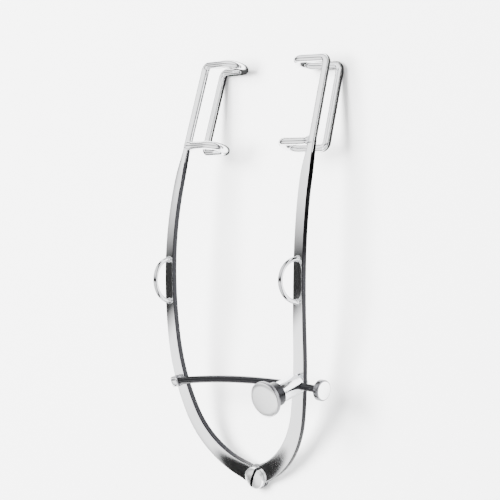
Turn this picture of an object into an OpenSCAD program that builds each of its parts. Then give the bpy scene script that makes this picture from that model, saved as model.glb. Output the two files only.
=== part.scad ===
// Eye speculum: two thin arms on a hinge screw, each ending in a wire lid blade,
// held open by a guide bar that a thumb screw locks in a swivelling post.
// It lies as it comes to rest on a table, with the hinge screw and the thumb screw on top.

/* [Arms] */
// Thickness of the strip that each arm is bent from
strip_t = 1.1; // [0.9:0.05:1.3]
// Width of the strip where it leaves the hinge
hinge_w = 3.4; // [3:0.1:3.8]
// Width of the strip where the blade is brazed on
root_w = 1.9; // [1.7:0.05:2.1]
// Radius of the round hinge end of each arm
hub_r = 2.15; // [2:0.05:2.5]
// Angle between the strip and the middle line as it leaves the hinge, arms closed
leave_angle = 56.5; // [54:0.5:59]
// Straight length of strip beside the hinge
leave_length = 3.1; // [2.6:0.1:3.6]
// Radius of the shoulder bend, seen from above
shoulder_r = 17; // [16:0.5:18]
// Radius of the bend past the clamp, seen from above
waist_r = 50; // [46:1:54]
// Radius of the long bend towards the blade, seen from above
long_r = 217; // [200:5:235]
// Straight length of strip below the blade
root_length = 9.35; // [8.6:0.15:10.1]
// Angle by which each arm is swung out of the closed position
open_angle = 12.25; // [11:0.25:13.5]

/* [Arch of the arms] */
// Flat length of the lower arm before it starts to arch
flat_length = 7.4; // [6.8:0.2:8]
// Radius of the arch over the clamp and the loops
arch_r = 97; // [92:1:102]
// Slope that the first arch ends at
arch_angle = 19.6; // [18:0.2:21]
// Radius of the tighter arch below the blades
fall_r = 68; // [64:1:72]
// Slope of the blades
blade_slope = 34.4; // [33:0.2:36]

/* [Lid blades] */
// Diameter of the blade wire
wire_d = 1.4; // [1.2:0.05:1.5]
// Length of a blade between the middles of its two hooks
blade_length = 15; // [13.5:0.25:16.5]
// Distance between the upper and the lower wire, the channel that holds the lid
channel = 4.05; // [3.6:0.05:4.4]
// Straight length of a hook leg
hook_leg = 5.3; // [4.4:0.1:5.7]
// Bend radius of the wire at the corners
corner_r = 1; // [0.85:0.05:1.3]

/* [Suture loops] */
// Wire diameter of the half ring
loop_wire = 0.8; // [0.7:0.05:0.9]
// Middle radius of the half ring
loop_r = 3.65; // [3.3:0.05:3.9]
// Distance of the half ring from the hinge along the strip
loop_place = 40.9; // [39.5:0.2:42.3]
// Lean of the half ring towards the other arm
loop_lean = 10; // [0:1:12]
// Depth of the sockets that hold its feet
socket_depth = 0.5; // [0.4:0.05:0.6]

/* [Hinge screw] */
// Diameter of the screw head
head_d = 3.9; // [3.6:0.1:4]
// Height of the screw head
head_h = 0.95; // [0.8:0.05:1.1]
// Radius of the dome on the screw head
head_dome_r = 5.5; // [5:0.5:8]
// Diameter of the plain neck that the upper arm turns on
neck_d = 1.9; // [1.7:0.05:2.1]
// Diameter of the threaded end
thread_d = 1.4; // [1.2:0.05:1.5]
// Width of the driver slot
slot_w = 0.5; // [0.4:0.05:0.6]
// Depth of the driver slot
slot_depth = 0.45; // [0.35:0.05:0.55]
// Direction of the driver slot from the middle line
slot_turn = -32; // [-60:1:60]

/* [Guide bar] */
// Distance of the bar's pivot and the post from the hinge along the strip
clamp_place = 23.9; // [23.1:0.2:24.7]
// Diameter of the bar
bar_d = 1.25; // [1.1:0.05:1.3]
// Radius that the bar is bowed to
bow_r = 150; // [130:10:220]
// Length of bar past the middle of the post
bar_past_post = 5.7; // [5.2:0.1:6.2]
// Side of the square eye
eye_side = 1.85; // [1.75:0.05:2]
// Height of the square eye
eye_h = 1.3; // [1.25:0.05:1.5]
// Diameter of the rivet in the eye
rivet_d = 0.9; // [0.8:0.05:1]
// Diameter of the rivet's two heads
rivet_head_d = 1.4; // [1.3:0.05:1.6]
// Height of the rivet's two heads
rivet_head_h = 0.3; // [0.25:0.05:0.4]
// Diameter of the stop knob on the end of the bar
knob_d = 3.6; // [3.2:0.1:4]
// Thickness of the stop knob
knob_t = 1.2; // [1:0.1:1.4]

/* [Clamp post and thumb screw] */
// Diameter of the post
post_d = 3.6; // [3.4:0.05:3.8]
// Height of the post's top over the arm
post_h = 5.2; // [4.9:0.1:5.5]
// Diameter of the post's shank in the arm
shank_d = 1.3; // [1.1:0.05:1.4]
// Diameter of the peened end under the arm
peen_d = 2.2; // [2:0.05:2.3]
// Thickness of the peened end
peen_t = 0.4; // [0.3:0.05:0.5]
// Diameter of the thumb screw's head
thumb_d = 6.2; // [5.6:0.1:6.8]
// Thickness of the thumb screw's head
thumb_t = 1.2; // [1:0.05:1.4]
// Radius of the crown on the thumb screw's face
thumb_crown_r = 26; // [22:1:34]
// Diameter of the collar under the head
collar_d = 4.2; // [3.8:0.1:4.6]
// Thickness of the collar
collar_t = 2.4; // [2.2:0.05:2.6]
// Diameter of the clamping thread
clamp_thread_d = 1.6; // [1.4:0.05:1.7]

/* [Clearances] */
// Gap all round a neck or a shank that turns
running_gap = 0.03; // [0.02:0.005:0.05]
// Gap between faces that slide on each other
face_gap = 0.05; // [0.03:0.005:0.08]
// Gap round the hinge end of one arm in the half lap of the other
lap_gap = 0.06; // [0.04:0.01:0.1]
// Gap all round a pin that is brazed, riveted or screwed in
fixed_gap = 0.01; // [0.005:0.005:0.02]
// Gap all round the bar in the post, which takes up the bow
bar_gap = 0.07; // [0.06:0.005:0.1]

/* [Hidden] */
$fn = 64;
arc_fn = 720;
path_steps = 72;
reach = 200;
under_lap = 3;
chamfer = 0.12;

wire_r = wire_d / 2;
half_t = (strip_t - face_gap) / 2;
end_angle = -14.4;
waist_angle = 6;
long_angle = -8.5;

// Lengths of the bends that the plan of the strip is made of
shoulder_len = shoulder_r * (leave_angle - waist_angle) * PI / 180;
waist_len = waist_r * (waist_angle - long_angle) * PI / 180;
long_len = long_r * (long_angle - end_angle) * PI / 180;
strip_len = leave_length + shoulder_len + waist_len + long_len + root_length;

// A path point is [x, y, heading], with the heading turned from +Y towards +X
function go(p, d) = [p.x + d * sin(p.z), p.y + d * cos(p.z), p.z];
function bend(p, r, d) =
    let (turn = d / r * 180 / PI, h = p.z - turn)
    [p.x - r * cos(p.z) + r * cos(h), p.y + r * sin(p.z) - r * sin(h), h];

shoulder_start = go([0, 0, leave_angle], leave_length);
waist_start = bend(shoulder_start, shoulder_r, shoulder_len);
long_start = bend(waist_start, waist_r, waist_len);
root_start = bend(long_start, long_r, long_len);

// The middle of the strip at the length s from the hinge, arms closed
function strip_at(s) =
    s < leave_length ? go([0, 0, leave_angle], s)
    : let (s1 = s - leave_length) s1 < shoulder_len ? bend(shoulder_start, shoulder_r, s1)
    : let (s2 = s1 - shoulder_len) s2 < waist_len ? bend(waist_start, waist_r, s2)
    : let (s3 = s2 - waist_len) s3 < long_len ? bend(long_start, long_r, s3)
    : go(root_start, s3 - long_len);

// The strip narrows quickly beside the hinge and slowly towards the blade
function strip_w(s) = root_w + (hinge_w - root_w) * pow(max(0, 1 - s / strip_len), 2);
function edge_at(s, side) =
    let (p = strip_at(s), h = side * strip_w(s) / 2)
    [p.x + h * cos(p.z), p.y - h * sin(p.z)];

// The arch, seen from the side: flat, then two arcs, then straight down the blades
arch_end = [flat_length + arch_r * sin(arch_angle), -arch_r * (1 - cos(arch_angle))];
fall_mid = arch_end - fall_r * [sin(arch_angle), cos(arch_angle)];
fall_end = fall_mid + fall_r * [sin(blade_slope), cos(blade_slope)];
function slope_at(y) =
    y < flat_length ? 0
    : y < arch_end.x ? asin((y - flat_length) / arch_r)
    : y < fall_end.x ? asin((y - fall_mid.x) / fall_r)
    : blade_slope;
function height_at(y) =
    y < flat_length ? 0
    : y < arch_end.x ? -arch_r * (1 - cos(slope_at(y)))
    : y < fall_end.x ? fall_mid.y + fall_r * cos(slope_at(y))
    : fall_end.y - (y - fall_end.x) * tan(blade_slope);

// Where the blades start, and how far they are turned in their sloping plane
blade_root = strip_at(strip_len);
blade_turn = atan(tan(-end_angle) * cos(blade_slope));

// The two pivots of the clamp, which sit at equal distances from the hinge
pivot_closed = strip_at(clamp_place);
pivot_r = norm([pivot_closed.x, pivot_closed.y]);
pivot_angle = atan(pivot_closed.x / pivot_closed.y) + open_angle;
pivot_x = pivot_r * sin(pivot_angle);
pivot_y = pivot_r * cos(pivot_angle);
pivot_slope = slope_at(pivot_closed.y);
arm_face = height_at(pivot_closed.y) + strip_t / 2 / cos(pivot_slope);
arm_back = arm_face - strip_t / cos(pivot_slope);

// What the slope of the strip takes up under a face of the half width r
function slope_rise(r) = r * tan(slope_at(pivot_closed.y + r));

eye_low = arm_face + slope_rise(eye_side / 2) + face_gap;
bar_z = eye_low + eye_h / 2;
post_low = arm_face + slope_rise(post_d / 2) + face_gap;
post_top = arm_face + post_h;
peen_top = arm_back - slope_rise(peen_d / 2) - face_gap;
rivet_low = arm_back - slope_rise(rivet_head_d / 2);
bow_mid_y = pivot_y - sqrt(bow_r * bow_r - pivot_x * pivot_x);
bow_half = asin(pivot_x / bow_r);
bar_end = bow_half + bar_past_post / bow_r * 180 / PI;
spigot_d = 0.9;
spigot_len = 0.8;

// The tilt that lays the hinge end and the lower wires on the table
blade_out = [cos(blade_turn), sin(blade_turn) * cos(blade_slope), -sin(blade_turn) * sin(blade_slope)];
blade_up = [-sin(blade_turn), cos(blade_turn) * cos(blade_slope), -cos(blade_turn) * sin(blade_slope)];
blade_down = [0, -sin(blade_slope), -cos(blade_slope)];
root_point = [blade_root.x, blade_root.y, height_at(blade_root.y)];
foot_closed = root_point + blade_length * blade_up + channel * blade_down
    + corner_r * (0.5 - 1) * blade_out + corner_r * (0.87 - 1) * blade_up;
foot_y = foot_closed.y * cos(open_angle) - foot_closed.x * sin(open_angle);
foot_run = foot_y + hub_r;
foot_fall = -foot_closed.z - strip_t / 2;
lay_tilt = atan(foot_fall / foot_run) + asin(wire_r / norm([foot_run, foot_fall]));
lay_lift = hub_r * sin(lay_tilt) + strip_t / 2 * cos(lay_tilt);

// From the hinge's own frame, with its screw upright, to the table
module lie_down() {
    translate([0, 0, lay_lift])
        rotate([lay_tilt, 0, 0])
            children();
}

module right_side() {
    lie_down()
        rotate([0, 0, -open_angle])
            children();
}

module left_side() {
    lie_down()
        mirror([1, 0, 0])
            rotate([0, 0, -open_angle])
                children();
}

// Puts its children on the middle of a closed arm's strip, square to it
module on_strip(s) {
    p = strip_at(s);
    slope = slope_at(p.y);
    translate([p.x, p.y, height_at(p.y)])
        rotate([-slope, 0, 0])
            rotate([0, 0, atan(-tan(p.z) * cos(slope))])
                children();
}

module on_blade() {
    translate(root_point)
        rotate([-blade_slope, 0, 0])
            rotate([0, 0, blade_turn])
                children();
}

// Plan of an arm, drawn up: the tapering strip and its round hinge end
module arm_plan() {
    over = strip_len + wire_d;
    translate([0, 0, -reach / 2]) {
        linear_extrude(height = reach)
            polygon([
                for (i = [0 : path_steps]) edge_at(over * i / path_steps, -1),
                for (i = [path_steps : -1 : 0]) edge_at(over * i / path_steps, 1)
            ]);
        cylinder(r = hub_r, h = reach);
    }
}

// A slice of pie between two slopes, measured from straight up
module pie(r, from, to) {
    rotate(90 - to)
        intersection() {
            circle(r = r, $fn = arc_fn);
            polygon([[0, 0], [reach, 0], reach * [cos(to - from), sin(to - from)]]);
        }
}

// All that lies under a face of the strip, seen from the side, where off is the face's distance
// from the middle: flat, two arches, then straight down the blades. Each arch also runs a little
// way under what it touches and curves less.
module under_face(off) {
    translate([-2 * hub_r, -reach])
        square([2 * hub_r + flat_length, reach + off]);
    translate([flat_length, -arch_r])
        pie(arch_r + off, -under_lap, arch_angle);
    translate(fall_mid)
        pie(fall_r + off, arch_angle - under_lap, blade_slope + under_lap);
    translate(fall_end)
        rotate(-blade_slope)
            translate([0, -reach])
                square([reach / 4, reach + off]);
}

// Side view of an arm, as thick as the strip
module side_view() {
    intersection() {
        difference() {
            under_face(strip_t / 2);
            under_face(-strip_t / 2);
        }
        translate([-2 * hub_r, -reach / 4])
            square([reach, reach / 2]);
    }
}

module arm_side() {
    rotate([90, 0, 90])
        linear_extrude(height = reach, center = true)
            side_view();
}

module arm_blank() {
    intersection() {
        arm_plan();
        arm_side();
    }
}

// The half lap at the hinge: what is cut off the top or the underside of a hinge end
module lap_cut(upper) {
    translate([0, 0, upper ? -strip_t : -face_gap / 2])
        cylinder(r = hub_r + lap_gap, h = strip_t + face_gap / 2);
}

// The sockets that the feet of a suture loop are brazed into
module loop_sockets() {
    on_strip(loop_place)
        rotate([0, -loop_lean, 0])
            for (side = [-1, 1])
                translate([0, side * loop_r, strip_t / 2 - socket_depth])
                    cylinder(d = loop_wire + 2 * fixed_gap, h = 2 * strip_t);
}

module closed_arm(upper) {
    hinge_bore = upper ? neck_d + 2 * running_gap : thread_d + 2 * fixed_gap;
    pivot_bore = upper ? rivet_d + 2 * fixed_gap : shank_d + 2 * running_gap;
    difference() {
        arm_blank();
        lap_cut(upper);
        on_blade()
            translate([-reach / 2, -wire_r, -reach / 2])
                cube(reach);
        translate([0, 0, -reach / 2])
            cylinder(d = hinge_bore, h = reach);
        translate([pivot_closed.x, pivot_closed.y, -reach / 2])
            cylinder(d = pivot_bore, h = reach);
        loop_sockets();
    }
}

module right_arm() {
    color("gainsboro")
        right_side()
            closed_arm(false);
}

module left_arm() {
    color("gainsboro")
        left_side()
            closed_arm(true);
}

// A quarter bend of the blade wire, from along +Y to along -X
module wire_corner() {
    rotate_extrude(angle = 90)
        translate([corner_r, 0])
            circle(d = wire_d);
}

// One hook: a leg out from the upper wire, the half ring and a leg back over the lower wire
module hook(leg_start) {
    for (level = [0, 1])
        translate([-leg_start[level], 0, -channel * level])
            rotate([0, -90, 0])
                cylinder(d = wire_d, h = hook_leg - leg_start[level]);
    translate([-hook_leg, 0, -channel / 2])
        rotate([90, 0, 0])
            rotate([0, 0, 90])
                rotate_extrude(angle = 180)
                    translate([channel / 2, 0])
                        circle(d = wire_d);
}

// The lid blade is one wire: up, over the far hook, down underneath and back over the near hook
module wire_blade() {
    translate([0, -wire_r, 0])
        rotate([-90, 0, 0])
            cylinder(d = wire_d, h = blade_length - corner_r + wire_r);
    translate([0, corner_r, -channel])
        rotate([-90, 0, 0])
            cylinder(d = wire_d, h = blade_length - 2 * corner_r);
    for (level = [0, 1])
        translate([-corner_r, blade_length - corner_r, -channel * level])
            wire_corner();
    translate([-corner_r, corner_r, -channel])
        mirror([0, 1, 0])
            wire_corner();
    translate([0, blade_length, 0])
        hook([corner_r, corner_r]);
    hook([0, corner_r]);
}

module right_blade() {
    color("silver")
        right_side()
            on_blade()
                wire_blade();
}

module left_blade() {
    color("silver")
        left_side()
            on_blade()
                wire_blade();
}

// A half ring with straight feet in the strip's sockets
module half_ring() {
    on_strip(loop_place)
        rotate([0, -loop_lean, 0])
            translate([0, 0, strip_t / 2]) {
                rotate([0, -90, 0])
                    rotate([0, 0, -90])
                        rotate_extrude(angle = 180)
                            translate([loop_r, 0])
                                circle(d = loop_wire);
                for (side = [-1, 1])
                    translate([0, side * loop_r, -socket_depth + fixed_gap])
                        cylinder(d = loop_wire, h = socket_depth - fixed_gap);
            }
}

module right_loop() {
    color("whitesmoke")
        right_side()
            half_ring();
}

module left_loop() {
    color("whitesmoke")
        left_side()
            half_ring();
}

// A turned disc with a crowned face and broken edges, standing on z = 0
module crowned_disc(r, h, crown_r) {
    rotate_extrude()
        intersection() {
            translate([0, h - crown_r])
                circle(r = crown_r, $fn = arc_fn);
            polygon([[0, 0], [r - chamfer, 0], [r, chamfer], [r, h], [0, h]]);
        }
}

// Shoulder screw: the upper arm turns on its neck, and its thread holds in the lower arm
module hinge_screw() {
    neck_low = -face_gap / 2;
    head_low = strip_t / 2 + face_gap;
    color("whitesmoke")
        lie_down()
            difference() {
                union() {
                    translate([0, 0, -strip_t / 2])
                        cylinder(d = thread_d, h = half_t + chamfer);
                    translate([0, 0, neck_low])
                        cylinder(d = neck_d, h = head_low - neck_low + chamfer);
                    translate([0, 0, head_low])
                        crowned_disc(head_d / 2, head_h, head_dome_r);
                }
                translate([0, 0, head_low + head_h - slot_depth])
                    rotate([0, 0, slot_turn])
                        translate([-slot_w / 2, -head_d, 0])
                            cube([slot_w, 2 * head_d, head_h]);
            }
}

// Puts its children on the bow of the bar, at an angle from its middle, with +X along the bar
module on_bow(angle) {
    translate([bow_r * sin(angle), bow_mid_y + bow_r * cos(angle), bar_z])
        rotate([0, 0, -angle])
            children();
}

// Bowed round bar with a square eye at one end and a spigot for the stop knob at the other
module guide_bar() {
    color("slategray")
        lie_down()
            difference() {
                union() {
                    translate([0, bow_mid_y, bar_z])
                        rotate([0, 0, 90 - bar_end])
                            rotate_extrude(angle = bar_end + bow_half, $fn = arc_fn)
                                translate([bow_r, 0])
                                    circle(d = bar_d);
                    on_bow(-bow_half)
                        translate([-eye_side / 2, -eye_side / 2, -eye_h / 2])
                            cube([eye_side, eye_side, eye_h]);
                    on_bow(bar_end)
                        rotate([0, 90, 0])
                            translate([0, 0, -spigot_len])
                                cylinder(d = spigot_d, h = 2 * spigot_len);
                }
                on_bow(-bow_half)
                    translate([0, 0, -eye_h])
                        cylinder(d = rivet_d + 2 * running_gap, h = 2 * eye_h);
            }
}

// Rivet through the eye, peened under the upper arm
module bar_rivet() {
    head_low = bar_z + eye_h / 2 + face_gap;
    color("whitesmoke")
        lie_down()
            translate([-pivot_x, pivot_y, 0]) {
                translate([0, 0, rivet_low - rivet_head_h])
                    cylinder(d = rivet_d, h = head_low + rivet_head_h / 2 - rivet_low + rivet_head_h);
                translate([0, 0, head_low])
                    crowned_disc(rivet_head_d / 2, rivet_head_h, rivet_head_d);
                translate([0, 0, rivet_low])
                    mirror([0, 0, 1])
                        crowned_disc(rivet_head_d / 2, rivet_head_h, rivet_head_d);
            }
}

// Turned knob on the bar's spigot, which stops the arms from opening too far
module stop_knob() {
    color("whitesmoke")
        lie_down()
            on_bow(bar_end)
                rotate([0, 90, 0])
                    difference() {
                        crowned_disc(knob_d / 2, knob_t, 2 * knob_d);
                        translate([0, 0, -knob_t])
                            cylinder(d = spigot_d + 2 * fixed_gap, h = knob_t + spigot_len + fixed_gap);
                    }
}

// Round post that turns in the lower arm, cross-bored for the bar and tapped from the top
module clamp_post() {
    color("white")
        lie_down()
            difference() {
                translate([pivot_x, pivot_y, 0])
                    difference() {
                        union() {
                            translate([0, 0, post_low])
                                cylinder(d = post_d, h = post_top - post_low);
                            translate([0, 0, peen_top - peen_t / 2])
                                cylinder(d = shank_d, h = post_low - peen_top + peen_t);
                            translate([0, 0, peen_top])
                                mirror([0, 0, 1])
                                    crowned_disc(peen_d / 2, peen_t, peen_d);
                        }
                        translate([0, 0, bar_z])
                            cylinder(d = clamp_thread_d + 2 * running_gap, h = post_top - bar_z + chamfer);
                    }
                on_bow(bow_half)
                    rotate([0, 90, 0])
                        cylinder(d = bar_d + 2 * bar_gap, h = 2 * post_d, center = true);
            }
}

// Turned thumb screw that locks the bar in the post
module thumb_screw() {
    tip = bar_z + bar_d / 2 + face_gap;
    collar_low = post_top + face_gap;
    color("whitesmoke")
        lie_down()
            translate([pivot_x, pivot_y, 0]) {
                translate([0, 0, tip])
                    cylinder(d = clamp_thread_d, h = collar_low - tip + chamfer);
                translate([0, 0, collar_low])
                    cylinder(d = collar_d, h = collar_t);
                translate([0, 0, collar_low + collar_t])
                    crowned_disc(thumb_d / 2, thumb_t, thumb_crown_r);
            }
}

right_arm();
left_arm();
right_blade();
left_blade();
right_loop();
left_loop();
hinge_screw();
guide_bar();
bar_rivet();
stop_knob();
clamp_post();
thumb_screw();
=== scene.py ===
# Eye speculum in polished steel, lying on a pale table, seen from its right side
import math

import bmesh
import bpy
from mathutils import Matrix, Vector


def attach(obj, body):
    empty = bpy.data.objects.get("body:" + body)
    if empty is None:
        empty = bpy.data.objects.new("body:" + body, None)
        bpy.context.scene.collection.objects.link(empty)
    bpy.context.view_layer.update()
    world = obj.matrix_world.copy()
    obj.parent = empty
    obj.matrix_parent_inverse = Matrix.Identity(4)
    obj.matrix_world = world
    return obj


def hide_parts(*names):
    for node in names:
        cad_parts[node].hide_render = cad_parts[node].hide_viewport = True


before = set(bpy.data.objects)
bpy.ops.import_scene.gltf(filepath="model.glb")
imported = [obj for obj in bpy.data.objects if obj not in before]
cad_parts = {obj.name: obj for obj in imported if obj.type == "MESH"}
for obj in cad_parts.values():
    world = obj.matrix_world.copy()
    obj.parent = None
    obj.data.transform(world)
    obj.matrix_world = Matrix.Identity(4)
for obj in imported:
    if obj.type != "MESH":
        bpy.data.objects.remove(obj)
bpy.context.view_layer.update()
print("frame loaded", sorted(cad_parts))

# the instrument's sizes are in mm and degrees, the same as the CAD part's
# each arm is drawn closed and flat, swung open about the hinge, then laid on the table
whole = dict(tilt=21.4544, lift=1.29828, open=12.25, gap=0.05)
toMetres = Matrix.Scale(0.001, 4)
lay = Matrix.Translation((0, 0, whole["lift"])) @ Matrix.Rotation(math.radians(whole["tilt"]), 4, "X")
swing = Matrix.Rotation(math.radians(-whole["open"]), 4, "Z")
flip = Matrix.Scale(-1, 4, (1, 0, 0))
side = {"right": lay @ swing, "left": lay @ flip @ swing}
quarter = Matrix.Rotation(math.pi / 2, 4, "Y")  # turns an upright piece along the bar
gap = whole["gap"]


def meshPiece(name, verts, faces, matrix, material):
    mesh = bpy.data.meshes.new(name)
    mesh.from_pydata([tuple(v) for v in verts], [], faces)
    mesh.transform(toMetres @ matrix)
    bm = bmesh.new()
    bm.from_mesh(mesh)
    bmesh.ops.recalc_face_normals(bm, faces=bm.faces[:])
    bm.to_mesh(mesh)
    bm.free()
    mesh.shade_smooth()
    mesh.set_sharp_from_angle(angle=math.radians(35))
    mesh.materials.append(material)
    obj = bpy.data.objects.new(name, mesh)
    bpy.context.scene.collection.objects.link(obj)
    return obj


# rings of equal length joined into a tube, with both ends filled
def ringFaces(count, around):
    faces = []
    for i in range(count - 1):
        a, b = i * around, (i + 1) * around
        faces += [(a + j, a + (j + 1) % around, b + (j + 1) % around, b + j) for j in range(around)]
    return faces + [tuple(range(around))[::-1], tuple(range((count - 1) * around, count * around))]


# a round wire along a row of points, with a radius for each
def tube(name, points, radii, matrix, material, around=32):
    verts = []
    up = None
    for i, p in enumerate(points):
        before, after = points[max(i - 1, 0)], points[min(i + 1, len(points) - 1)]
        along = (after - before).normalized()
        if up is None:
            up = along.orthogonal().normalized()
        up = (up - along * up.dot(along)).normalized()
        out = along.cross(up)
        for j in range(around):
            t = 2 * math.pi * j / around
            verts.append(p + radii[i] * (math.cos(t) * up + math.sin(t) * out))
    return meshPiece(name, verts, ringFaces(len(points), around), matrix, material)


# rounds the corners of a turned piece's outline, given as r, z and corner radius
def rounded(outline, steps=5):
    out = []
    for i, (r, z, c) in enumerate(outline):
        p = Vector((r, z))
        if c == 0 or i in (0, len(outline) - 1):
            out.append(p)
            continue
        a = (Vector(outline[i - 1][:2]) - p).normalized()
        b = (Vector(outline[i + 1][:2]) - p).normalized()
        half = a.angle(b) / 2
        d = c / math.tan(half)
        mid = p + (a + b).normalized() * c / math.sin(half)
        start, stop = p + a * d - mid, p + b * d - mid
        for k in range(steps + 1):
            t = k / steps
            out.append(mid + (start * (1 - t) + stop * t).normalized() * c)
    return out


# a piece turned on a lathe about its own upright axis
def turned(name, outline, matrix, material, around=96):
    verts, faces, rows = [], [], []
    for p in rounded(outline):
        if p.x < 1e-6:
            rows.append([len(verts)])
            verts.append((0, 0, p.y))
        else:
            rows.append(list(range(len(verts), len(verts) + around)))
            verts += [(p.x * math.cos(2 * math.pi * j / around),
                       p.x * math.sin(2 * math.pi * j / around), p.y) for j in range(around)]
    for a, b in zip(rows, rows[1:]):
        for j in range(around):
            k = (j + 1) % around
            corners = dict.fromkeys((a[j % len(a)], a[k % len(a)], b[k % len(b)], b[j % len(b)]))
            if len(corners) > 2:
                faces.append(tuple(corners))
    return meshPiece(name, verts, faces, matrix, material)


# a crowned face as outline points from the rim to the middle
def crown(r, top, dome, steps=8):
    reach = [r * (1 - k / steps) for k in range(steps + 1)]
    return [(x, top - (dome - math.sqrt(dome * dome - x * x)), 0) for x in reach]


# cuts at mm size, where Blender's merge distances are small enough, and softens the new edges
def cutAway(obj, cutter, bevel):
    for o in (obj, cutter):
        o.data.transform(Matrix.Scale(1000, 4))
    cut = obj.modifiers.new("cut", "BOOLEAN")
    cut.object, cut.operation, cut.solver = cutter, "DIFFERENCE", "EXACT"
    soft = obj.modifiers.new("soft", "BEVEL")
    soft.width, soft.segments, soft.limit_method = bevel, 3, "ANGLE"
    soft.angle_limit = math.radians(50)
    bpy.context.view_layer.update()
    done = bpy.data.meshes.new_from_object(obj.evaluated_get(bpy.context.evaluated_depsgraph_get()))
    obj.modifiers.clear()
    obj.data = done
    done.transform(Matrix.Scale(0.001, 4))
    done.shade_smooth()
    done.set_sharp_from_angle(angle=math.radians(40))
    bpy.data.objects.remove(cutter)


# a rounded oblong, anticlockwise from the right side
def section(halfWide, halfThick, edge, steps=5):
    points = []
    edge = min(edge, halfWide * 0.999, halfThick * 0.999)
    for cx, cz, start in ((1, 1, 0), (-1, 1, 90), (-1, -1, 180), (1, -1, 270)):
        for k in range(steps + 1):
            t = math.radians(start + 90 * k / steps)
            points.append((cx * (halfWide - edge) + edge * math.cos(t),
                           cz * (halfThick - edge) + edge * math.sin(t)))
    return points


# the finishes: tint, roughness and how much it varies, stretch of the polishing lines, their depth
steels = dict(
    strip=dict(tint=(0.89, 0.895, 0.905), rough=0.08, vary=0.05, grain=(900, 90, 900), bump=0.018),
    # painted reflection and shade: near-black steel for the strips' narrow sides, the screw slot and the
    # thumb screw's collar
    edge=dict(tint=(0.018, 0.018, 0.02), rough=0.28, vary=0.10, grain=(500, 500, 1800), bump=0.12),
    # painted shade: a darker copy of the wire steel for the suture loops
    loop=dict(tint=(0.50, 0.505, 0.515), rough=0.11, vary=0.06, grain=(900, 300, 900), bump=0.08),
    wire=dict(tint=(0.88, 0.885, 0.895), rough=0.11, vary=0.06, grain=(900, 300, 900), bump=0.08),
    turned=dict(tint=(0.84, 0.85, 0.87), rough=0.10, vary=0.06, grain=(700, 700, 2600), bump=0.08),
    satin=dict(tint=(0.96, 0.965, 0.97), rough=0.30, vary=0.08, grain=(1400, 1400, 1400), bump=0.08),
    # painted shade: dark grey steel for the sides of the turned pieces
    rim=dict(tint=(0.16, 0.16, 0.17), rough=0.22, vary=0.10, grain=(500, 500, 2400), bump=0.14),
    # painted shade: near-black steel for the guide bar
    bar=dict(tint=(0.032, 0.032, 0.035), rough=0.22, vary=0.10, grain=(200, 1500, 1500), bump=0.16))
# what the finishes share: fine polishing lines over broad handling marks
polish = dict(lines=3.0, lineDetail=5.0, marks=160.0, markDetail=4.0, lineShare=0.45,
              least=0.3, most=0.7, smoothest=0.03, marked=0.94, depth=0.00002)


def steel(name):
    finish = steels[name]
    m = bpy.data.materials.new("Steel_" + name)
    m.use_nodes = True
    nodes, links = m.node_tree.nodes, m.node_tree.links
    shader = nodes["Principled BSDF"]
    shader.inputs["Metallic"].default_value = 1.0
    where = nodes.new("ShaderNodeTexCoord")
    stretched = nodes.new("ShaderNodeMapping")
    stretched.inputs["Scale"].default_value = finish["grain"]
    links.new(where.outputs["Object"], stretched.inputs["Vector"])
    grain = nodes.new("ShaderNodeTexNoise")
    grain.inputs["Scale"].default_value = polish["lines"]
    grain.inputs["Detail"].default_value = polish["lineDetail"]
    links.new(stretched.outputs["Vector"], grain.inputs["Vector"])
    smudge = nodes.new("ShaderNodeTexNoise")
    smudge.inputs["Scale"].default_value = polish["marks"]
    smudge.inputs["Detail"].default_value = polish["markDetail"]
    links.new(where.outputs["Object"], smudge.inputs["Vector"])
    both = nodes.new("ShaderNodeMix")
    both.inputs["Factor"].default_value = polish["lineShare"]
    links.new(smudge.outputs["Fac"], both.inputs["A"])
    links.new(grain.outputs["Fac"], both.inputs["B"])
    spread = nodes.new("ShaderNodeMapRange")
    spread.inputs["From Min"].default_value = polish["least"]
    spread.inputs["From Max"].default_value = polish["most"]
    spread.inputs["To Min"].default_value = max(finish["rough"] - finish["vary"] / 2, polish["smoothest"])
    spread.inputs["To Max"].default_value = finish["rough"] + finish["vary"]
    links.new(both.outputs["Result"], spread.inputs["Value"])
    links.new(spread.outputs["Result"], shader.inputs["Roughness"])
    shade = nodes.new("ShaderNodeMix")
    shade.data_type = "RGBA"
    shade.inputs["A"].default_value = (*[c * polish["marked"] for c in finish["tint"]], 1)
    shade.inputs["B"].default_value = (*finish["tint"], 1)
    links.new(smudge.outputs["Fac"], shade.inputs["Factor"])
    links.new(shade.outputs["Result"], shader.inputs["Base Color"])
    bump = nodes.new("ShaderNodeBump")
    bump.inputs["Strength"].default_value = finish["bump"]
    bump.inputs["Distance"].default_value = polish["depth"]
    links.new(grain.outputs["Fac"], bump.inputs["Height"])
    links.new(bump.outputs["Normal"], shader.inputs["Normal"])
    return m


stripSteel, paintedShadeReflectionSteel, paintedShadeLoopSteel, wireSteel, turnedSteel, satinSteel, paintedShadeRimSteel, paintedShadeBarSteel = (
    steel(n) for n in steels)
print("materials made")

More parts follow.
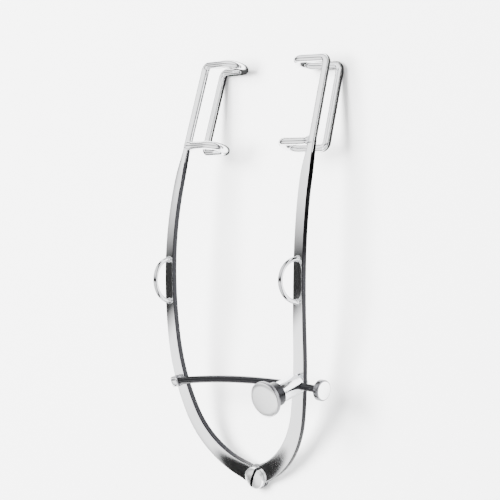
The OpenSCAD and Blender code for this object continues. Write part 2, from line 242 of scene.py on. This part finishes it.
# the two arms, each a flat strip with a round half-thick end for the hinge screw
arm = dict(
    thick=1.1, hinge=3.4, root=1.9, edge=0.17,  # the strip, and its width at the hinge and the blade
    leave=56.5, straight=3.1, shoulder=17.0, waistTo=6.0, waist=50.0, longTo=-8.5,  # seen from above
    long=217.0, endTo=-14.4, end=9.35,
    flat=7.4, arch=97.0, archTo=19.6, fall=68.0, slope=34.4,  # seen from the side
    hub=2.15, tapped=0.71, plain=0.98, hubEdge=0.1, lapGap=0.06,  # the round ends at the hinge
    tongue=(1.25, 1.6, 2.0, 2.5, 2.9), inset=0.004,  # the rows that join a round end to its strip
    rows=200, lapRows=12,
    drawn=6.5, drawnWide=0.706, drawnThick=0.704, drawnEdge=0.70, short=0.14)  # closed down to wire
# painted dark reflection on the strip's narrow sides, in place of the dark surroundings they would mirror:
# how far they face down or up, and how big a face
sideReflectionPaint = dict(down=-0.35, up=0.22, more=0.5, fade=9.0, largest=5e-7)


# the middle line of a closed arm, seen from above: x, y and heading from +Y towards +X
def pathPoint(s):
    h = math.radians(arm["leave"])
    d = min(s, arm["straight"])
    x, y, s = d * math.sin(h), d * math.cos(h), s - d
    for radius, to in ((arm["shoulder"], arm["waistTo"]), (arm["waist"], arm["longTo"]),
                       (arm["long"], arm["endTo"])):
        if s <= 0:
            break
        turn = min(s / radius, h - math.radians(to))
        s -= turn * radius
        x, y = x - radius * math.cos(h), y + radius * math.sin(h)
        h -= turn
        x, y = x + radius * math.cos(h), y - radius * math.sin(h)
    if s > 0:
        x, y = x + s * math.sin(h), y + s * math.cos(h)
    return x, y, h


def armLength():
    total = arm["straight"] + arm["end"]
    angles = (arm["leave"], arm["waistTo"], arm["longTo"], arm["endTo"])
    for radius, a, b in zip((arm["shoulder"], arm["waist"], arm["long"]), angles, angles[1:]):
        total += radius * math.radians(a - b)
    return total


# height of the strip's surface at a distance off its middle, seen from the side
def surfaceZ(y, off):
    a1, a2 = math.radians(arm["archTo"]), math.radians(arm["slope"])
    if y < arm["flat"]:
        return off
    r1 = arm["arch"] + off
    if y < arm["flat"] + r1 * math.sin(a1):
        return -arm["arch"] + math.sqrt(r1 * r1 - (y - arm["flat"]) ** 2)
    endY = arm["flat"] + arm["arch"] * math.sin(a1)
    endZ = -arm["arch"] * (1 - math.cos(a1))
    midY, midZ = endY - arm["fall"] * math.sin(a1), endZ - arm["fall"] * math.cos(a1)
    r2 = arm["fall"] + off
    if y < midY + r2 * math.sin(a2):
        return midZ + math.sqrt(r2 * r2 - (y - midY) ** 2)
    return midZ + r2 * math.cos(a2) - (y - midY - r2 * math.sin(a2)) * math.tan(a2)


def slopeAt(y, step=0.01):
    return math.atan2(surfaceZ(y - step, 0) - surfaceZ(y + step, 0), 2 * step)


def halfWidth(s):
    t = max(0.0, 1 - s / armLength())
    return (arm["root"] + (arm["hinge"] - arm["root"]) * t * t) / 2


# the painted dark reflection on the narrow sides narrows towards the tip, where the strip turns into wire
def paintSideReflection(piece, tip=None):
    piece.data.materials.append(paintedShadeReflectionSteel)
    upright = (lay.to_3x3() @ Vector((0, 0, 1))).normalized()
    for poly in piece.data.polygons:
        left = sideReflectionPaint["fade"] if tip is None else (poly.center - tip).length * 1000
        steepest = sideReflectionPaint["up"] + sideReflectionPaint["more"] * min(left / sideReflectionPaint["fade"], 1.0)
        if sideReflectionPaint["down"] < poly.normal.dot(upright) < steepest and poly.area < sideReflectionPaint["largest"]:
            poly.material_index = 1


def buildStrip(which):
    total = armLength() - arm["short"]
    rim = arm["hub"] + arm["lapGap"]
    rows, lapRows = arm["rows"], arm["lapRows"]
    verts = []
    for i in range(rows + 1):
        s = arm["straight"] + (total - arm["straight"]) * max(0, i - lapRows) / (rows - lapRows)
        # the last stretch is drawn in to the wire that it is brazed to
        t = max(0.0, 1 - (total - s) / arm["drawn"])
        t = t * t * (3 - 2 * t)
        wide = halfWidth(s) * (1 - t) + arm["drawnWide"] * t
        thick = arm["thick"] / 2 * (1 - t) + arm["drawnThick"] * t
        edge = arm["edge"] * (1 - t * t) + arm["drawnEdge"] * t * t
        for u, v in section(wide, thick, edge):
            if i < lapRows:  # from the round shoulder of the half lap to the first straight row
                k = i / lapRows
                d = math.sqrt(rim * rim - u * u) * (1 - k) + arm["straight"] * k
                h = math.radians(arm["leave"])
                x, y = d * math.sin(h), d * math.cos(h)
            else:
                x, y, h = pathPoint(s)
            x, y = x + u * math.cos(h), y - u * math.sin(h)
            verts.append((x, y, surfaceZ(y, v)))
    faces = ringFaces(rows + 1, len(verts) // (rows + 1))
    strip = meshPiece("Arm_strip_" + which, verts, faces, side[which], stripSteel)
    x, y, h = pathPoint(total)
    paintSideReflection(strip, toMetres @ side[which] @ Vector((x, y, surfaceZ(y, 0))))
    return strip


# the round half-thick end and the tongue that joins it to the strip
def buildHinge(which):
    low, high, bore = -arm["thick"] / 2, -gap / 2, arm["tapped"]
    if which == "left":
        low, high, bore = gap / 2, arm["thick"] / 2, arm["plain"]
    disc = turned("Arm_hinge_" + which,
                  [(bore, low, 0), (arm["hub"], low, arm["hubEdge"]), (arm["hub"], high, arm["hubEdge"]),
                   (bore, high, 0), (bore, low, 0)], side[which], stripSteel)
    h = math.radians(arm["leave"])
    verts = []
    for d in arm["tongue"]:
        for u, v in section(halfWidth(0) - arm["inset"], (high - low) / 2 - arm["inset"], arm["hubEdge"]):
            x, y = d * math.sin(h) + u * math.cos(h), d * math.cos(h) - u * math.sin(h)
            verts.append((x, y, (low + high) / 2 + v))
    faces = ringFaces(len(arm["tongue"]), len(verts) // len(arm["tongue"]))
    tongue = meshPiece("Arm_tongue_" + which, verts, faces, side[which], stripSteel)
    paintSideReflection(disc)
    paintSideReflection(tongue)
    return disc, tongue


for which in ("right", "left"):
    for piece in (buildStrip(which), *buildHinge(which)):
        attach(piece, which + "_side")
        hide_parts(which + "_arm")
print("arms built")

# the lid blades, one bent wire each, brazed to the end of the arm's strip
blade = dict(wire=0.7, length=15.0, channel=4.05, leg=5.3, corner=1.0, sunk=0.42, stop=0.2,
             braze=0.22, brazeFrom=0.35, brazeFade=0.22, brazeRows=20)
rootX, rootY, _ = pathPoint(armLength())
bladeTurn = math.atan(math.tan(math.radians(-arm["endTo"])) * math.cos(math.radians(arm["slope"])))
onBlade = (Matrix.Translation((rootX, rootY, surfaceZ(rootY, 0)))
           @ Matrix.Rotation(math.radians(-arm["slope"]), 4, "X") @ Matrix.Rotation(bladeTurn, 4, "Z"))


# adds an arc about centre, in the plane of the two directions a and b
def bend(points, centre, a, b, radius, start, stop, steps=14):
    for k in range(steps + 1):
        t = math.radians(start + (stop - start) * k / steps)
        points.append(centre + radius * (math.cos(t) * a + math.sin(t) * b))


# adds a straight run that ends just before the next point
def straightRun(points, to, steps=8):
    p = points[-1]
    points += [p.lerp(to, k / steps) for k in range(1, steps)]


def buildBlade(which):
    x, y, z = Vector((1, 0, 0)), Vector((0, 1, 0)), Vector((0, 0, 1))
    c, leg, length, drop = blade["corner"], blade["leg"], blade["length"], blade["channel"]
    hook = drop / 2
    points = [Vector((0, -blade["sunk"], 0))]
    straightRun(points, Vector((0, length - c, 0)), 24)  # upper wire
    bend(points, Vector((-c, length - c, 0)), x, y, c, 0, 90)
    straightRun(points, Vector((-leg, length, 0)))
    bend(points, Vector((-leg, length, -hook)), z, -x, hook, 0, 180, 24)  # far hook
    straightRun(points, Vector((-c, length, -drop)))
    bend(points, Vector((-c, length - c, -drop)), y, x, c, 0, 90)
    straightRun(points, Vector((0, c, -drop)), 24)  # lower wire
    bend(points, Vector((-c, c, -drop)), x, -y, c, 0, 90)
    straightRun(points, Vector((-leg, 0, -drop)))
    bend(points, Vector((-leg, 0, -hook)), -z, -x, hook, 0, 180, 24)  # near hook
    straightRun(points, Vector((-blade["stop"], 0, 0)), 16)
    radii = []
    for i, p in enumerate(points):
        bead = 0.0
        if len(points) - i < blade["brazeRows"]:  # braze where the near hook meets the upper wire
            far = max((p - points[-1]).length - blade["brazeFrom"], 0)
            bead = blade["braze"] * math.exp(-far / blade["brazeFade"])
        radii.append(blade["wire"] + bead)
    return tube("Blade_" + which, points, radii, side[which] @ onBlade, wireSteel)


for which in ("right", "left"):
    piece = buildBlade(which)
    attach(piece, which + "_side")
    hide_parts(which + "_blade")
print("blades built")

# the suture loops, half rings of thin wire brazed into the top of the strips
loop = dict(wire=0.4, radius=3.65, place=40.9, lean=10.0, socket=0.5,
            braze=0.16, brazeFrom=0.02, brazeFade=0.13, around=24)


# a place on the strip's middle, along the arm and square to its surface
def onStrip(s):
    x, y, h = pathPoint(s)
    slope = slopeAt(y)
    heading = math.atan(-math.tan(h) * math.cos(slope))
    return (Matrix.Translation((x, y, surfaceZ(y, 0))) @ Matrix.Rotation(-slope, 4, "X")
            @ Matrix.Rotation(heading, 4, "Z"))


def buildLoop(which):
    y, z = Vector((0, 1, 0)), Vector((0, 0, 1))
    r, foot = loop["radius"], arm["thick"] / 2
    start, stop = Vector((0, r, foot - loop["socket"])), Vector((0, -r, foot - loop["socket"]))
    points = [start]
    straightRun(points, Vector((0, r, foot)), 5)
    bend(points, Vector((0, 0, foot)), y, z, r, 0, 180, 48)
    straightRun(points, stop, 5)
    points.append(stop)
    radii = []
    for p in points:
        far = max(p.z - foot - loop["brazeFrom"], 0)
        radii.append(loop["wire"] + loop["braze"] * math.exp(-far / loop["brazeFade"]))
    lean = Matrix.Rotation(math.radians(-loop["lean"]), 4, "Y")
    # the loop's darker steel is painted shade
    return tube("Suture_loop_" + which, points, radii, side[which] @ onStrip(loop["place"]) @ lean,
                paintedShadeLoopSteel, loop["around"])


for which in ("right", "left"):
    piece = buildLoop(which)
    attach(piece, which + "_side")
    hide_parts(which + "_loop")
print("suture loops built")

# the hinge screw: a crowned head with a slot, a smooth neck in the upper arm, thread in the lower
screw = dict(head=1.95, high=0.95, dome=5.5, wall=0.59, foot=0.05, shoulder=0.12, inset=0.02,
             under=0.1, neck=0.95, neckLow=-0.025, neckEdge=0.03, thread=0.7, threadTop=-0.03,
             threadEdge=0.08, slot=0.5, deep=0.45, turn=-32.0, cutLong=8.0, cutHigh=2.0, soft=0.05,
             dark=0.012)
low = arm["thick"] / 2 + gap
head = turned("Hinge_screw_head",
              [(0, low - screw["under"], 0), (screw["neck"], low - screw["under"], 0),
               (screw["neck"], low, 0), (screw["head"], low, screw["foot"]),
               (screw["head"], low + screw["wall"], screw["shoulder"])]
              + crown(screw["head"] - screw["inset"], low + screw["high"], screw["dome"])[1:],
              lay, satinSteel)
slotAt = Matrix.Translation((0, 0, low + screw["high"] - screw["deep"]))
slotAt = lay @ slotAt @ Matrix.Rotation(math.radians(screw["turn"]), 4, "Z")
slotX, slotY = screw["slot"] / 2, screw["cutLong"] / 2
corners = [(x, y, z) for z in (0, screw["cutHigh"])
           for x, y in ((-slotX, -slotY), (slotX, -slotY), (slotX, slotY), (-slotX, slotY))]
boxFaces = [(3, 2, 1, 0), (4, 5, 6, 7), (0, 1, 5, 4), (1, 2, 6, 5), (2, 3, 7, 6), (3, 0, 4, 7)]
cutAway(head, meshPiece("slot_cutter", corners, boxFaces, slotAt, turnedSteel), screw["soft"])
# painted shade: the slot's inside and a thin margin round it get the near-black steel
head.data.materials.append(paintedShadeReflectionSteel)  # the slot is dark inside
fromSlot = slotAt.inverted()
for poly in head.data.polygons:
    if abs((fromSlot @ (poly.center * 1000)).x) < slotX + screw["dark"]:
        poly.material_index = 1
neck = turned("Hinge_screw_neck",
              [(0, -arm["thick"] / 2, 0), (screw["thread"], -arm["thick"] / 2, screw["threadEdge"]),
               (screw["thread"], screw["threadTop"], 0),
               (screw["neck"], screw["neckLow"], screw["neckEdge"]), (screw["neck"], low, 0),
               (0, low, 0)], lay, turnedSteel)
for piece in (head, neck):
    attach(piece, "right_side")
    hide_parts("hinge_screw")
print("hinge screw built")


# a turned piece's faces stay bright and its sides between two heights get a darker steel, which is painted
# shade
def paintShadedSides(piece, matrix, material, low=-99, high=99, steep=0.75):
    piece.data.materials.append(material)
    axis = (matrix.to_3x3() @ Vector((0, 0, 1))).normalized()
    foot = matrix.translation
    for poly in piece.data.polygons:
        height = (poly.center * 1000 - foot).dot(axis)
        if abs(poly.normal.dot(axis)) < steep and low < height < high:
            poly.material_index = len(piece.data.materials) - 1


# the guide bar, bowed from its eye on the left arm through the post on the right one
bar = dict(place=23.9, radius=0.625, bow=150.0, past=5.7, rows=96, tipRows=2, tip=0.93,
           eye=1.85, eyeHigh=1.3, eyeEdge=0.3,
           eyeRows=((-1, 0.12), (-0.8, 0.03), (-0.7, 0), (0.7, 0), (0.8, 0.03), (1, 0.12)))
closedX, closedY, _ = pathPoint(bar["place"])
reach = math.hypot(closedX, closedY)
angle = math.atan2(closedX, closedY) + math.radians(whole["open"])
pivotX, pivotY = reach * math.sin(angle), reach * math.cos(angle)
slope = slopeAt(closedY)
face = surfaceZ(closedY, 0) + arm["thick"] / 2 / math.cos(slope)
back = face - arm["thick"] / math.cos(slope)
atRivet = lay @ Matrix.Translation((-pivotX, pivotY, 0))
atPost = lay @ Matrix.Translation((pivotX, pivotY, 0))


# how far the sloping strip rises under a foot of radius r
def rise(r):
    return r * math.tan(slopeAt(closedY + r))


barZ = face + rise(bar["eye"] / 2) + gap + bar["eyeHigh"] / 2
bowY = pivotY - math.sqrt(bar["bow"] ** 2 - pivotX ** 2)
bowHalf = math.asin(pivotX / bar["bow"])
bowEnd = bowHalf + bar["past"] / bar["bow"]


def bowPoint(a):
    return Vector((bar["bow"] * math.sin(a), bowY + bar["bow"] * math.cos(a), barZ))


def onBow(a):
    return lay @ Matrix.Translation(bowPoint(a)) @ Matrix.Rotation(-a, 4, "Z")


points = [bowPoint(-bowHalf + (bowEnd + bowHalf) * k / bar["rows"]) for k in range(bar["rows"] + 1)]
radii = [bar["radius"]] * (len(points) - bar["tipRows"]) + [bar["radius"] * bar["tip"]] * bar["tipRows"]
# the bar's near-black steel is painted shade
rod = tube("Guide_bar", points, radii, lay, paintedShadeBarSteel)
verts = []
for z, shrink in bar["eyeRows"]:
    half = bar["eye"] / 2 - shrink
    verts += [(u, v, z * bar["eyeHigh"] / 2) for u, v in section(half, half, bar["eyeEdge"])]
faces = ringFaces(len(bar["eyeRows"]), len(verts) // len(bar["eyeRows"]))
eye = meshPiece("Guide_bar_eye", verts, faces, onBow(-bowHalf), satinSteel)
# the eye's sides get painted shade
paintShadedSides(eye, onBow(-bowHalf), paintedShadeRimSteel)
for piece in (rod, eye):
    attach(piece, "bar")
    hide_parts("guide_bar")

# the rivet that the eye turns on, headed under the strip and over the eye
rivet = dict(head=0.7, high=0.3, dome=1.4, shank=0.45, edge=0.03, around=48)
rivetLow = back - rise(rivet["head"])
rivetTop = barZ + bar["eyeHigh"] / 2 + gap
r, t = rivet["head"], rivet["high"]
headBelow = [(x, rivetLow - z, 0) for x, z, _ in crown(r, t, rivet["dome"])][::-1]
pin = turned("Bar_rivet",
             headBelow
             + [(r, rivetLow, rivet["edge"]), (rivet["shank"], rivetLow, 0),
                (rivet["shank"], rivetTop, 0), (r, rivetTop, rivet["edge"])]
             + crown(r, rivetTop + t, rivet["dome"]), atRivet, turnedSteel, rivet["around"])
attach(pin, "left_side")
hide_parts("bar_rivet")

# the knob on the bar's free end, which stops the arms from opening too far
knob = dict(radius=1.8, thick=1.2, hole=0.46, wall=0.9, backEdge=0.16, frontEdge=0.2, inset=0.05,
            dome=7.2, steep=0.9)
r, t = knob["radius"], knob["thick"]
atKnob = onBow(bowEnd) @ quarter
stop = turned("Stop_knob",
              [(knob["hole"], 0, 0), (r, 0, knob["backEdge"]), (r, knob["wall"], knob["frontEdge"])]
              + crown(r - knob["inset"], t, knob["dome"])[1:], atKnob, satinSteel)
# the knob's sides get painted shade
paintShadedSides(stop, atKnob, paintedShadeRimSteel, steep=knob["steep"])
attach(stop, "bar")
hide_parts("stop_knob")

# the clamp post: peened under the strip, cross-bored for the bar, tapped from its top
post = dict(radius=1.8, high=5.2, shank=0.65, footEdge=0.12, topEdge=0.14,
            peen=1.1, peenHigh=0.4, peenWall=0.12, peenEdge=0.1, peenFlat=0.66, peenFlatLow=0.36,
            peenBack=0.03, tap=0.83, tapDeep=1.5, tapEdge=0.05, clear=0.07, boreLong=6.0,
            boreAround=64, soft=0.06)
postLow = face + rise(post["radius"]) + gap
postTop = face + post["high"]
peenTop = back - rise(post["peen"]) - gap
r, p, s = post["radius"], post["peen"], post["shank"]
pillar = turned("Clamp_post",
                [(0, peenTop - post["peenHigh"], 0),
                 (post["peenFlat"], peenTop - post["peenFlatLow"], post["peenEdge"]),
                 (p, peenTop - post["peenWall"], post["peenEdge"]), (p, peenTop, post["peenBack"]),
                 (s, peenTop, 0), (s, postLow, 0), (r, postLow, post["footEdge"]),
                 (r, postTop, post["topEdge"]), (post["tap"], postTop, post["tapEdge"]),
                 (post["tap"], postTop - post["tapDeep"], 0), (0, postTop - post["tapDeep"], 0)],
                atPost, turnedSteel)
b, half = bar["radius"] + post["clear"], post["boreLong"] / 2
bore = turned("bore_cutter", [(0, -half, 0), (b, -half, 0), (b, half, 0), (0, half, 0)],
              onBow(bowHalf) @ quarter, turnedSteel, post["boreAround"])
cutAway(pillar, bore, post["soft"])
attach(pillar, "post")
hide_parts("clamp_post")

# the thumb screw: a thread in the post, a collar and a crowned disc; the collar's near-black and the disc
# rim's dark grey are painted shade
thumb = dict(radius=3.1, thick=1.2, collar=2.1, collarHigh=2.4, thread=0.8, threadLong=1.4,
             threadEdge=0.1, collarLowEdge=0.12, collarTopEdge=0.05, backIn=0.04, backEdge=0.16,
             flare=0.4, flareEdge=0.1, wall=0.42, frontEdge=0.2, inset=0.12, dome=26, around=128,
             darkOver=0.1, rimUnder=0.2)
r, c = thumb["radius"], thumb["collar"]
foot = postTop + gap
under = foot + thumb["collarHigh"]
top = under + thumb["thick"]
disc = turned("Thumb_screw",
              [(0, foot - thumb["threadLong"], 0),
               (thumb["thread"], foot - thumb["threadLong"], thumb["threadEdge"]),
               (thumb["thread"], foot, 0), (c, foot, thumb["collarLowEdge"]),
               (c, under, thumb["collarTopEdge"]), (r - thumb["backIn"], under, thumb["backEdge"]),
               (r, under + thumb["flare"], thumb["flareEdge"]),
               (r, top - thumb["wall"], thumb["frontEdge"])]
              + crown(r - thumb["inset"], top, thumb["dome"])[1:], atPost, satinSteel, thumb["around"])
# painted shade on the collar and on the disc's rim
paintShadedSides(disc, atPost, paintedShadeReflectionSteel, high=under + thumb["darkOver"])
paintShadedSides(disc, atPost, paintedShadeRimSteel, under, top - thumb["rimUnder"])
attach(disc, "screw")
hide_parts("thumb_screw")
print("clamp built")

# the table, from here on in metres
table = dict(half=3.0, grey=0.96, rough=0.9)
h = table["half"]
floorMesh = bpy.data.meshes.new("Floor")
floorMesh.from_pydata([(-h, -h, 0), (h, -h, 0), (h, h, 0), (-h, h, 0)], [], [(0, 1, 2, 3)])
floor = bpy.data.objects.new("Floor", floorMesh)
bpy.context.scene.collection.objects.link(floor)
pale = bpy.data.materials.new("Pale_table")
pale.use_nodes = True
paleShader = pale.node_tree.nodes["Principled BSDF"]
paleShader.inputs["Base Color"].default_value = (table["grey"], table["grey"], table["grey"], 1)
paleShader.inputs["Roughness"].default_value = table["rough"]
floorMesh.materials.append(pale)
print("table set")

# the room: greys from behind the hinge to past the blades, and dim towards the horizon
room = dict(strength=3.0, dimTo=0.05, dimFrom=0.24, clearFrom=0.50,
            greys=((0.0, 0.9), (0.3, 0.9), (0.36, 1.0), (0.405, 1.0), (0.425, 0.35), (0.44, 0.015),
                   (0.503, 0.015), (0.525, 0.12), (0.565, 0.4), (0.62, 0.75), (0.70, 1.0), (1.0, 1.0)))
world = bpy.data.worlds.new("Studio")
bpy.context.scene.world = world
world.use_nodes = True
nodes, links = world.node_tree.nodes, world.node_tree.links
sky = nodes["Background"]
sky.inputs["Strength"].default_value = room["strength"]
way = nodes.new("ShaderNodeTexCoord")
parts = nodes.new("ShaderNodeSeparateXYZ")
links.new(way.outputs["Generated"], parts.inputs["Vector"])
spread = nodes.new("ShaderNodeMapRange")
spread.inputs["From Min"].default_value = -1.0
spread.inputs["From Max"].default_value = 1.0
links.new(parts.outputs["Y"], spread.inputs["Value"])
ramp = nodes.new("ShaderNodeValToRGB")
links.new(spread.outputs["Result"], ramp.inputs["Fac"])
marks = ramp.color_ramp.elements
while len(marks) < len(room["greys"]):
    marks.new(0.5)
for mark, (at, grey) in zip(marks, room["greys"]):
    mark.position = at
    mark.color = (grey, grey, grey, 1)
lowWall = nodes.new("ShaderNodeMapRange")
lowWall.interpolation_type = "SMOOTHSTEP"
lowWall.inputs["From Min"].default_value = room["dimFrom"]
lowWall.inputs["From Max"].default_value = room["clearFrom"]
lowWall.inputs["To Min"].default_value = room["dimTo"]
links.new(parts.outputs["Z"], lowWall.inputs["Value"])
dim = nodes.new("ShaderNodeVectorMath")
dim.operation = "SCALE"
links.new(ramp.outputs["Color"], dim.inputs[0])
links.new(lowWall.outputs["Result"], dim.inputs["Scale"])
links.new(dim.outputs["Vector"], sky.inputs["Color"])

# one soft lamp, high up beyond the left arm, for the shadow
lamp = dict(place=(-0.25, 0.15, 0.7), aim=(0, 0.035, 0), size=0.5, watts=34.0)
lampData = bpy.data.lights.new("Key", "AREA")
lampData.shape, lampData.size, lampData.energy = "SQUARE", lamp["size"], lamp["watts"]
key = bpy.data.objects.new("Key", lampData)
bpy.context.scene.collection.objects.link(key)
key.location = lamp["place"]
key.rotation_euler = (Vector(lamp["aim"]) - Vector(lamp["place"])).to_track_quat("-Z", "Y").to_euler()
key.visible_glossy = False

# the camera, level with the instrument's middle and 45 degrees to its right
shot = dict(eye=(0.358072, 0.009288, 0.362884), right=(0.707084, 0.050606, -0.705316),
            up=(0.005677, 0.996998, 0.077225), back=(0.707107, -0.058608, 0.704674),
            lens=210.74, sensor=36, clip=(0.01, 20))
# soft dark cards that only the steel mirrors: place, facing, direction of an edge, size, how much
# of it is solid, and its grey
upward, alongArm = (0, 0, 1), (0, 1, 0)
cards = {
    "Blade_card_right": ((0.0355, 0.0655, 0.0002), upward, alongArm, (0.060, 0.060), 0.9, 0.02),
    "Blade_card_left": ((-0.0108, 0.0655, 0.0002), upward, alongArm, (0.0155, 0.036), 0.7, 0.02),
    "Post_card": ((0.0225, 0.044, 0.0002), upward, alongArm, (0.009, 0.013), 0.6, 0.02)}
hingeCard = dict(spot=(0, 0, 0.0024), far=0.03, across=-0.0011, size=(0.0205, 0.0160), solid=0.6,
                 grey=0.008)


# an oval card, solid in the middle and clear at its rim
def card(name, place, facing, along, size, solid, grey):
    mesh = bpy.data.meshes.new(name)
    mesh.from_pydata([(-1, -1, 0), (1, -1, 0), (1, 1, 0), (-1, 1, 0)], [], [(0, 1, 2, 3)])
    z = Vector(facing).normalized()
    y = Vector(along)
    y = (y - z * y.dot(z)).normalized()
    turnTo = Matrix((y.cross(z), y, z)).transposed().to_4x4()
    obj = bpy.data.objects.new(name, mesh)
    bpy.context.scene.collection.objects.link(obj)
    obj.matrix_world = Matrix.Translation(place) @ turnTo @ Matrix.Diagonal((size[0] / 2, size[1] / 2, 1, 1))
    obj.visible_camera = obj.visible_shadow = obj.visible_diffuse = False
    m = bpy.data.materials.new(name)
    m.use_nodes = True
    nodes, links = m.node_tree.nodes, m.node_tree.links
    shader = nodes["Principled BSDF"]
    shader.inputs["Base Color"].default_value = (grey, grey, grey, 1)
    shader.inputs["Roughness"].default_value = 1.0
    shader.inputs["Specular IOR Level"].default_value = 0.0
    where = nodes.new("ShaderNodeTexCoord")
    fromMiddle = nodes.new("ShaderNodeVectorMath")
    fromMiddle.operation = "LENGTH"
    links.new(where.outputs["Object"], fromMiddle.inputs[0])
    fade = nodes.new("ShaderNodeMapRange")
    fade.interpolation_type = "SMOOTHSTEP"
    fade.inputs["From Min"].default_value = 1.0
    fade.inputs["From Max"].default_value = solid
    links.new(fromMiddle.outputs["Value"], fade.inputs["Value"])
    links.new(fade.outputs["Result"], shader.inputs["Alpha"])
    mesh.materials.append(m)


# the card over the hinge stands where the flat ends of the arms mirror it towards the shot
flatUp = (lay.to_3x3() @ Vector((0, 0, 1))).normalized()
spot = Vector(hingeCard["spot"])
away = (spot - Vector(shot["eye"])).normalized().reflect(flatUp)
place = spot + hingeCard["far"] * away + hingeCard["across"] * Vector(shot["right"]).reflect(flatUp)
card("Hinge_card", place, away, Vector(shot["up"]).reflect(flatUp), hingeCard["size"],
     hingeCard["solid"], hingeCard["grey"])
for name, values in cards.items():
    card(name, *values)
print("room, lamp and cards set")

# the camera stands where the shot was framed
lensData = bpy.data.cameras.new("Camera")
lensData.lens, lensData.sensor_width = shot["lens"], shot["sensor"]
lensData.clip_start, lensData.clip_end = shot["clip"]
camera = bpy.data.objects.new("Camera", lensData)
bpy.context.scene.collection.objects.link(camera)
turnTo = Matrix((shot["right"], shot["up"], shot["back"])).transposed().to_4x4()
camera.matrix_world = Matrix.Translation(shot["eye"]) @ turnTo
bpy.context.scene.camera = camera
print("camera set")
